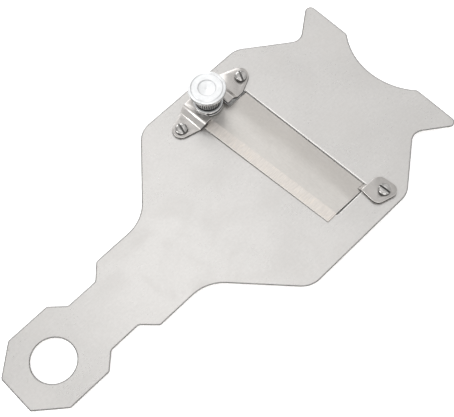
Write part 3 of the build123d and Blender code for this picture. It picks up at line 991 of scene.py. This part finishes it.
def photo_camera(eye, lens):
    """The camera, looking down over the grip's right side."""
    right = Vector((0.70113, 0.71208, -0.03686))
    up = Vector((-0.63926, 0.65065, 0.40987))
    back = Vector((0.31584, -0.26381, 0.9114))
    camera = bpy.data.cameras.new("Photo view")
    camera.sensor_width = 36.0
    camera.lens = lens
    camera.clip_start = 0.01
    camera.clip_end = 50.0
    seat = bpy.data.objects.new("Photo view", camera)
    seat.matrix_world = Matrix.Translation(eye) @ Matrix((right, up, back)).transposed().to_4x4()
    bpy.context.scene.collection.objects.link(seat)
    bpy.context.scene.camera = seat
    return seat


# Operators


class SLICER_OT_set_stage(bpy.types.Operator):
    """Lays the floor, and sets the light and the camera"""

    bl_idname = "slicer.set_stage"
    bl_label = "Stage"

    def execute(self, context):
        look = context.scene.slicer_stage
        resting_floor(floor_finish(tuple(look.floor)))
        context.scene.world = studio_sky(look.sky)
        soft_light("Key light", (-0.75, 0.35, 0.56), 0.9, 0.4, look.key)
        soft_light("Grip light", (-0.39, -0.62, 0.68), 0.9, 0.22, look.grip)
        soft_light("Front light", (0.5, -0.42, 0.757), 0.9, 0.3, look.front)
        photo_camera(look.eye, look.lens)
        context.scene.view_settings.view_transform = "Standard"
        return {"FINISHED"}


class SLICER_OT_finish_plate(bpy.types.Operator):
    """Gives the body plate its satin finish"""

    bl_idname = "slicer.finish_plate"
    bl_label = "Body plate"

    def execute(self, context):
        tints = context.scene.slicer_colours
        # The plate's rims are darkened to a painted shade, and its window's sides and rims are lightened to a
        # painted highlight.
        look = dict(wear=-0.2, side_dark=1.1, rim=0.12, roll=0.75 * MM, window=WINDOW)
        give("body_plate", plain_sheet("Satin plate steel", tuple(tints.plate), **look))
        return {"FINISHED"}


class SLICER_OT_dress_blade(bpy.types.Operator):
    """Finishes the blade, its clamped ear, the spacer and the bush"""

    bl_idname = "slicer.dress_blade"
    bl_label = "Blade and ear"

    def execute(self, context):
        tints, sizes = context.scene.slicer_colours, context.scene.slicer_fasteners
        give("blade", ground_blade("Ground blade steel", tuple(tints.blade), tuple(tints.bevel)))
        # The ear's sheared sides are darkened to a painted shade, and its rims are lightened to a painted
        # highlight.
        look = dict(rough=0.28, lines=3400.0, across=True, side_dark=0.07, rim=1.4)
        satin = plain_sheet("Satin ear steel", shaded(tints.bridge, 0.9), **look)
        ear = softened("blade_ear_stamped", "blade_ear", satin, sizes.edge_break)
        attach(ear, "frame")
        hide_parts("blade_ear")
        turned = turned_metal("Turned bush steel", tuple(tints.turned), 0.3)
        # The spacer is near black: a painted shadow in the gap under the ear.
        give("ear_spacer", turned_metal("Painted shadow spacer steel", shaded(tints.turned, 0.08), 0.5))
        give("blade_bush", turned)
        return {"FINISHED"}


class SLICER_OT_dress_bridge(bpy.types.Operator):
    """Rounds the bridge's stamped edges and gives it its satin finish"""

    bl_idname = "slicer.dress_bridge"
    bl_label = "Bridge"

    def execute(self, context):
        tints, sizes = context.scene.slicer_colours, context.scene.slicer_fasteners
        # The bridge's sheared sides are darkened to a painted shade, and its rims are lightened to a painted
        # highlight.
        look = dict(rough=0.24, lines=3000.0, wear=0.5, side_dark=0.07, rim=1.4)
        satin = plain_sheet("Satin bridge steel", tuple(tints.bridge), **look)
        bridge = softened("bridge_stamped", "bridge_bracket", satin, sizes.edge_break)
        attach(bridge, "frame")
        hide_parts("bridge_bracket")
        return {"FINISHED"}


class SLICER_OT_make_knob(bpy.types.Operator):
    """Turns the knob: base disc, cove, fluted hub, knurled rim and dished top"""

    bl_idname = "slicer.make_knob"
    bl_label = "Knob"

    def execute(self, context):
        tints, sizes = context.scene.slicer_colours, context.scene.slicer_knob
        look = dict(rings=6000.0, painted_shade=knob_painted_shade(sizes), marks_deep=1.2e-6, frosted=0.62)
        finish = turned_metal("Turned knob aluminium", tuple(tints.knob), 0.2, **look)
        knob = turned_knob(sizes, finish)
        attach(knob, "knob")
        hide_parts("adjusting_knob")
        return {"FINISHED"}


class SLICER_OT_make_adjusting_screw(bpy.types.Operator):
    """Turns and threads the adjusting screw"""

    bl_idname = "slicer.make_adjusting_screw"
    bl_label = "Adjusting screw"

    def execute(self, context):
        tints, sizes = context.scene.slicer_colours, context.scene.slicer_fasteners
        painted_shade = thread_painted_shade(sizes.adjusting_diameter, 4.9 * MM, collar=sizes.collar_diameter / 2)
        finish = turned_metal("Turned screw steel", tuple(tints.turned), 0.24, 8000.0, painted_shade)
        screw = collared_screw(sizes, finish)
        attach(screw, "knob")
        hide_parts("adjusting_screw")
        return {"FINISHED"}


class SLICER_OT_make_fasteners(bpy.types.Operator):
    """Makes the three slotted screws and their nuts"""

    bl_idname = "slicer.make_fasteners"
    bl_label = "Screws and nuts"

    def execute(self, context):
        tints, sizes = context.scene.slicer_colours, context.scene.slicer_fasteners
        painted_shade = thread_painted_shade(sizes.thread_diameter, -0.3 * MM, sizes.head_height)
        bright = turned_metal("Bright screw steel", tuple(tints.screws), 0.12, 7000.0, painted_shade)
        plated = turned_metal("Bright nut steel", tuple(tints.screws), 0.26, 5000.0)
        turns = {
            "bridge_{}_front": sizes.front_turn,
            "bridge_{}_back": sizes.back_turn,
            "ear_{}": sizes.ear_turn,
        }
        for place, turn in turns.items():
            node = place.format("screw")
            screw = slotted_screw(node + "_slotted", node, turn, sizes, bright)
            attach(screw, "frame")
            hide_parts(node)
            node = place.format("nut")
            nut = hex_nut(node + "_chamfered", node, sizes, plated)
            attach(nut, "frame")
            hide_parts(node)
        return {"FINISHED"}


STEPS = (
    SLICER_OT_set_stage,
    SLICER_OT_finish_plate,
    SLICER_OT_dress_blade,
    SLICER_OT_dress_bridge,
    SLICER_OT_make_adjusting_screw,
    SLICER_OT_make_knob,
    SLICER_OT_make_fasteners,
)
GROUPS = {
    "slicer_knob": SlicerKnobSizes,
    "slicer_fasteners": SlicerFastenerSizes,
    "slicer_colours": SlicerFinishColours,
    "slicer_stage": SlicerStageLook,
}


class SLICER_PT_sidebar(bpy.types.Panel):
    """Lists the slicer's pieces, sizes and colours"""

    bl_idname = "SLICER_PT_sidebar"
    bl_label = "Truffle slicer"
    bl_space_type = "VIEW_3D"
    bl_region_type = "UI"
    bl_category = "Slicer"

    def draw(self, context):
        for step in STEPS:
            self.layout.operator(step.bl_idname)
        for group in GROUPS:
            held = getattr(context.scene, group)
            box = self.layout.box()
            for key in held.bl_rna.properties.keys():
                if key not in ("rna_type", "name"):
                    box.prop(held, key)


def register():
    for group, kind in GROUPS.items():
        bpy.utils.register_class(kind)
        setattr(bpy.types.Scene, group, PointerProperty(type=kind))
    for kind in (*STEPS, SLICER_PT_sidebar):
        bpy.utils.register_class(kind)


def unregister():
    for kind in (SLICER_PT_sidebar, *STEPS[::-1]):
        bpy.utils.unregister_class(kind)
    for group, kind in GROUPS.items():
        delattr(bpy.types.Scene, group)
        bpy.utils.unregister_class(kind)


def main():
    """Registers the add-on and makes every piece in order."""
    register()
    bpy.ops.slicer.set_stage()
    bpy.ops.slicer.finish_plate()
    bpy.ops.slicer.dress_blade()
    bpy.ops.slicer.dress_bridge()
    bpy.ops.slicer.make_adjusting_screw()
    bpy.ops.slicer.make_knob()
    bpy.ops.slicer.make_fasteners()


if __name__ == "__main__":
    main()
